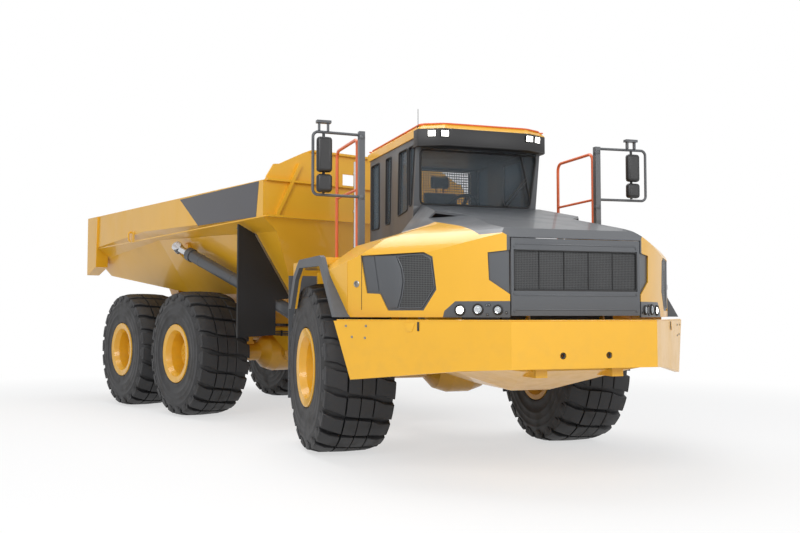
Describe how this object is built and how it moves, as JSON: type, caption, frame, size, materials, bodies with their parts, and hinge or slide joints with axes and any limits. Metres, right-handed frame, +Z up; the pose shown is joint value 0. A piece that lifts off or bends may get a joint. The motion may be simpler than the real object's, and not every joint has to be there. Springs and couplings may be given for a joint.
{
  "type": "articulated dump truck",
  "caption": "Articulated six-wheel dump truck: cab and hood unit hinged to a rear unit that carries a tipping bed on hoist cylinders.",
  "frame": {"origin": "bottom centre of the bounding box, on the ground, with the rear unit turned about the articulation as at rest", "axes": "+Z up; the front unit faces -Y; +X is its left side"},
  "size_m": [6.4726, 12.5936, 3.9399],
  "materials": {
    "black_plastic": "matte",
    "cab_glass": "clear",
    "cast_grey": "rough",
    "dark_grey_paint": "satin",
    "mirror_housing": "matte",
    "orange_paint": "gloss",
    "rubber_sheet": "matte",
    "seat_fabric": "woven",
    "steel_chrome": "polished",
    "tyre_rubber": "matte",
    "yellow_paint": "gloss"
  },
  "bodies": {
    "front_unit": {"front_axle": "yellow_paint", "front_frame": "yellow_paint", "frame_brackets": "yellow_paint", "front_struts": "black_plastic", "bumper": "yellow_paint", "belly_guard": "yellow_paint", "fender_right": "yellow_paint", "fender_left": "yellow_paint", "mudguards": "rubber_sheet", "engine": "cast_grey", "radiator": "cast_grey", "cab_shell": "dark_grey_paint", "cab_glass": "cab_glass", "cab_roof": "yellow_paint", "roof_visor": "black_plastic", "driver_seat": "seat_fabric", "dashboard": "black_plastic", "mirror_posts": "dark_grey_paint", "mirror_heads": "mirror_housing", "handrails": "orange_paint", "exhaust_stack": "steel_chrome", "steps": "yellow_paint"},
    "wheel_front_right": {"tyre_front_right": "tyre_rubber", "rim_front_right": "yellow_paint"},
    "wheel_front_left": {"tyre_front_left": "tyre_rubber", "rim_front_left": "yellow_paint"},
    "wheel_middle_right": {"tyre_middle_right": "tyre_rubber", "rim_middle_right": "yellow_paint"},
    "wheel_middle_left": {"tyre_middle_left": "tyre_rubber", "rim_middle_left": "yellow_paint"},
    "wheel_rear_right": {"tyre_rear_right": "tyre_rubber", "rim_rear_right": "yellow_paint"},
    "wheel_rear_left": {"tyre_rear_left": "tyre_rubber", "rim_rear_left": "yellow_paint"},
    "steer_barrel_right": {"steer_barrel_right": "dark_grey_paint"},
    "steer_rod_right": {"steer_rod_right": "steel_chrome"},
    "steer_barrel_left": {"steer_barrel_left": "dark_grey_paint"},
    "steer_rod_left": {"steer_rod_left": "steel_chrome"},
    "hoist_barrel_right": {"hoist_barrel_right": "dark_grey_paint"},
    "hoist_rod_right": {"hoist_rod_right": "steel_chrome"},
    "hoist_barrel_left": {"hoist_barrel_left": "dark_grey_paint"},
    "hoist_rod_left": {"hoist_rod_left": "steel_chrome"},
    "hood": {"hood": "yellow_paint", "hood_top": "dark_grey_paint", "hood_vents": "dark_grey_paint", "headlamps": "dark_grey_paint"},
    "grille": {"grille_panel": "dark_grey_paint", "grille_mesh": "black_plastic"},
    "cab_door": {"cab_door": "dark_grey_paint", "cab_door_glass": "cab_glass"},
    "hitch": {"hitch": "yellow_paint"},
    "rear_unit": {"middle_axle": "yellow_paint", "rear_axle": "yellow_paint", "rear_frame": "yellow_paint", "bogie_beams": "yellow_paint"},
    "bed": {"bed_headboard": "yellow_paint", "bed_floor": "yellow_paint", "bed_side_right": "yellow_paint", "bed_side_left": "yellow_paint", "bed_flaps": "rubber_sheet"}
  },
  "joints": [
    {"name": "steer", "type": "hinge", "parent": "front_unit", "child": "hitch", "pos_m": [1.0853, -1.44677, 1.15], "axis": [0, 0, 1], "range_deg": [-64.4, 25.6]},
    {"name": "frame_roll", "type": "hinge", "parent": "hitch", "child": "rear_unit", "pos_m": [0.91922, -0.97516, 1.15], "axis": [-0.3322, 0.9432, 0], "range_deg": [-10, 10]},
    {"name": "bed_tip", "type": "hinge", "parent": "rear_unit", "child": "bed", "pos_m": [-1.0505, 4.61815, 1.95], "axis": [-0.9432, -0.3322, 0], "range_deg": [0, 70]},
    {"name": "hood_tilt", "type": "hinge", "parent": "front_unit", "child": "hood", "pos_m": [1.0853, -6.06677, 1.69], "axis": [1, 0, 0], "range_deg": [0, 90]},
    {"name": "grille_tilt", "type": "hinge", "parent": "front_unit", "child": "grille", "pos_m": [1.0853, -6.06677, 1.69], "axis": [1, 0, 0], "range_deg": [0, 90]},
    {"name": "cab_door_swing", "type": "hinge", "parent": "front_unit", "child": "cab_door", "pos_m": [1.8183, -3.03677, 3], "axis": [0, 0, 1], "range_deg": [0, 65]},
    {"name": "spin_front_right", "type": "hinge", "parent": "front_unit", "child": "wheel_front_right", "pos_m": [-0.4047, -3.11677, 0.99], "axis": [1, 0, 0], "continuous": true},
    {"name": "spin_front_left", "type": "hinge", "parent": "front_unit", "child": "wheel_front_left", "pos_m": [2.5753, -3.11677, 0.99], "axis": [1, 0, 0], "continuous": true},
    {"name": "spin_middle_right", "type": "hinge", "parent": "rear_unit", "child": "wheel_middle_right", "pos_m": [-1.51589, 1.45391, 0.99], "axis": [0.9432, 0.3322, 0], "continuous": true},
    {"name": "spin_middle_left", "type": "hinge", "parent": "rear_unit", "child": "wheel_middle_left", "pos_m": [1.29492, 2.44375, 0.99], "axis": [0.9432, 0.3322, 0], "continuous": true},
    {"name": "spin_rear_right", "type": "hinge", "parent": "rear_unit", "child": "wheel_rear_right", "pos_m": [-2.25328, 3.54787, 0.99], "axis": [0.9432, 0.3322, 0], "continuous": true},
    {"name": "spin_rear_left", "type": "hinge", "parent": "rear_unit", "child": "wheel_rear_left", "pos_m": [0.55752, 4.53771, 0.99], "axis": [0.9432, 0.3322, 0], "continuous": true},
    {"name": "hoist_barrel_right_pivot", "type": "hinge", "parent": "rear_unit", "child": "hoist_barrel_right", "pos_m": [0.04448, -1.09236, 1.313], "axis": [0.5528, 0.6408, -0.5328], "range_deg": [-2, 11.15]},
    {"name": "hoist_rod_right_slide", "type": "slide", "parent": "hoist_barrel_right", "child": "hoist_rod_right", "axis": [-0.519, 0.7649, 0.3815], "range_m": [-0.02, 2.9115]},
    {"name": "hoist_barrel_left_pivot", "type": "hinge", "parent": "rear_unit", "child": "hoist_barrel_left", "pos_m": [1.67437, -0.51839, 1.313], "axis": [0.8323, -0.153, 0.5328], "range_deg": [-2, 11.15]},
    {"name": "hoist_rod_left_slide", "type": "slide", "parent": "hoist_barrel_left", "child": "hoist_rod_left", "axis": [-0.0748, 0.9213, 0.3815], "range_m": [-0.02, 2.9115]},
    {"name": "steer_barrel_right_pivot", "type": "hinge", "parent": "front_unit", "child": "steer_barrel_right", "pos_m": [0.4253, -2.61677, 1.25], "axis": [0, 0, 1], "range_deg": [-4.53, 2.4]},
    {"name": "steer_rod_right_slide", "type": "slide", "parent": "steer_barrel_right", "child": "steer_rod_right", "axis": [0.1724, 0.985, 0], "range_m": [-0.2012, 0.491]},
    {"name": "steer_barrel_left_pivot", "type": "hinge", "parent": "front_unit", "child": "steer_barrel_left", "pos_m": [1.7453, -2.61677, 1.25], "axis": [0, 0, 1], "range_deg": [-2.43, 1.57]},
    {"name": "steer_rod_left_slide", "type": "slide", "parent": "steer_barrel_left", "child": "steer_rod_left", "axis": [-0.2048, 0.9788, 0], "range_m": [-0.4963, 0.2033]}
  ],
  "couplings": [
    {"joint": "hoist_barrel_right_pivot", "follows": "bed_tip", "ratio": 0.13077},
    {"joint": "hoist_rod_right_slide", "follows": "bed_tip", "m_per_rad": 2.3667},
    {"joint": "hoist_barrel_left_pivot", "follows": "bed_tip", "ratio": 0.13077},
    {"joint": "hoist_rod_left_slide", "follows": "bed_tip", "m_per_rad": 2.3667},
    {"joint": "steer_barrel_right_pivot", "follows": "steer", "ratio": 0.054848},
    {"joint": "steer_rod_right_slide", "follows": "steer", "m_per_rad": -0.42793},
    {"joint": "steer_barrel_left_pivot", "follows": "steer", "ratio": 0.022246},
    {"joint": "steer_rod_left_slide", "follows": "steer", "m_per_rad": 0.43269}
  ]
}
